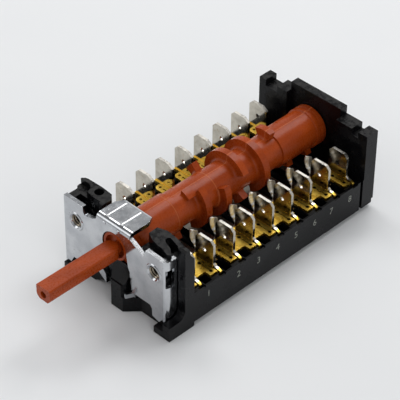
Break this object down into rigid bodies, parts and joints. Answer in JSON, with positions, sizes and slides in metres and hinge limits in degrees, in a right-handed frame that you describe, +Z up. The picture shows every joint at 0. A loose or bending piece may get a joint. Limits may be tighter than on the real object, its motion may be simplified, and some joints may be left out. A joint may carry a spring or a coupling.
{
  "type": "oven selector switch",
  "caption": "Cam-operated rotary oven selector switch: black open body with push-on tabs, red-brown shaft and cam drum, folded steel mounting bracket.",
  "frame": {"origin": "on the base plane, under the camshaft axis, level along the shaft with the first near tab", "axes": "-Y points out along the shaft to its free tip, +X is the near side with the four linked terminal strips, +Z is up from the base"},
  "size_m": [0.0401, 0.0987, 0.0275],
  "materials": {
    "black plastic": "semi-gloss black moulding",
    "zinc-plated steel": "bright zinc plating",
    "red-brown plastic": "satin thermoset moulding",
    "spring steel": "bright",
    "brass": "bright brass, tinned tabs",
    "contact spring alloy": "pale bright spring alloy",
    "contact silver": "bright silver"
  },
  "bodies": {
    "body": {"housing": "black plastic", "front_bracket": "zinc-plated steel", "detent_spring": "spring steel", "near_terminal_a": "brass", "near_terminal_b": "brass", "near_terminal_c": "brass", "near_terminal_d": "brass", "far_terminal_1": "brass", "fixed_contact_1": "contact silver", "far_terminal_2": "brass", "fixed_contact_2": "contact silver", "far_terminal_3": "brass", "fixed_contact_3": "contact silver", "far_terminal_4": "brass", "fixed_contact_4": "contact silver", "far_terminal_5": "brass", "fixed_contact_5": "contact silver", "far_terminal_6": "brass", "fixed_contact_6": "contact silver", "far_terminal_7": "brass", "fixed_contact_7": "contact silver", "far_terminal_8": "brass", "fixed_contact_8": "contact silver"},
    "camshaft": {"camshaft": "red-brown plastic"},
    "detent_ball": {"detent_ball": "spring steel"},
    "contact_1": {"contact_leaf_1": "contact spring alloy", "moving_contact_1": "contact silver"},
    "contact_2": {"contact_leaf_2": "contact spring alloy", "moving_contact_2": "contact silver"},
    "contact_3": {"contact_leaf_3": "contact spring alloy", "moving_contact_3": "contact silver"},
    "contact_4": {"contact_leaf_4": "contact spring alloy", "moving_contact_4": "contact silver"},
    "contact_5": {"contact_leaf_5": "contact spring alloy", "moving_contact_5": "contact silver"},
    "contact_6": {"contact_leaf_6": "contact spring alloy", "moving_contact_6": "contact silver"},
    "contact_7": {"contact_leaf_7": "contact spring alloy", "moving_contact_7": "contact silver"},
    "contact_8": {"contact_leaf_8": "contact spring alloy", "moving_contact_8": "contact silver"}
  },
  "joints": [
    {"name": "camshaft_turn", "type": "hinge", "parent": "body", "child": "camshaft", "pos_m": [0, 0, 0.0175], "axis": [0, 1, 0], "continuous": true},
    {"name": "detent_ball_slide", "type": "slide", "parent": "body", "child": "detent_ball", "axis": [0, 0, -1], "range_m": [0, 0.0006], "stiffness_N_per_m": 600, "deforming": ["detent_spring"]},
    {"name": "contact_leaf_1_flex", "type": "hinge", "parent": "body", "child": "contact_1", "pos_m": [0.0106, 0.00195, 0.00995], "axis": [0, 1, 0], "range_deg": [0, 1.8], "stiffness_Nm_per_rad": 0.06},
    {"name": "contact_leaf_2_flex", "type": "hinge", "parent": "body", "child": "contact_2", "pos_m": [0.0106, 0.0091, 0.00995], "axis": [0, 1, 0], "range_deg": [0, 1.8], "stiffness_Nm_per_rad": 0.06},
    {"name": "contact_leaf_3_flex", "type": "hinge", "parent": "body", "child": "contact_3", "pos_m": [0.0106, 0.01625, 0.00995], "axis": [0, 1, 0], "range_deg": [0, 1.8], "stiffness_Nm_per_rad": 0.06},
    {"name": "contact_leaf_4_flex", "type": "hinge", "parent": "body", "child": "contact_4", "pos_m": [0.0106, 0.0234, 0.00995], "axis": [0, 1, 0], "range_deg": [0, 1.8], "stiffness_Nm_per_rad": 0.06},
    {"name": "contact_leaf_5_flex", "type": "hinge", "parent": "body", "child": "contact_5", "pos_m": [0.0106, 0.03055, 0.00995], "axis": [0, 1, 0], "range_deg": [0, 1.8], "stiffness_Nm_per_rad": 0.06},
    {"name": "contact_leaf_6_flex", "type": "hinge", "parent": "body", "child": "contact_6", "pos_m": [0.0106, 0.0377, 0.00995], "axis": [0, 1, 0], "range_deg": [0, 1.8], "stiffness_Nm_per_rad": 0.06},
    {"name": "contact_leaf_7_flex", "type": "hinge", "parent": "body", "child": "contact_7", "pos_m": [0.0106, 0.04485, 0.00995], "axis": [0, 1, 0], "range_deg": [0, 1.8], "stiffness_Nm_per_rad": 0.06},
    {"name": "contact_leaf_8_flex", "type": "hinge", "parent": "body", "child": "contact_8", "pos_m": [0.0106, 0.052, 0.00995], "axis": [0, 1, 0], "range_deg": [0, 1.8], "stiffness_Nm_per_rad": 0.06}
  ]
}
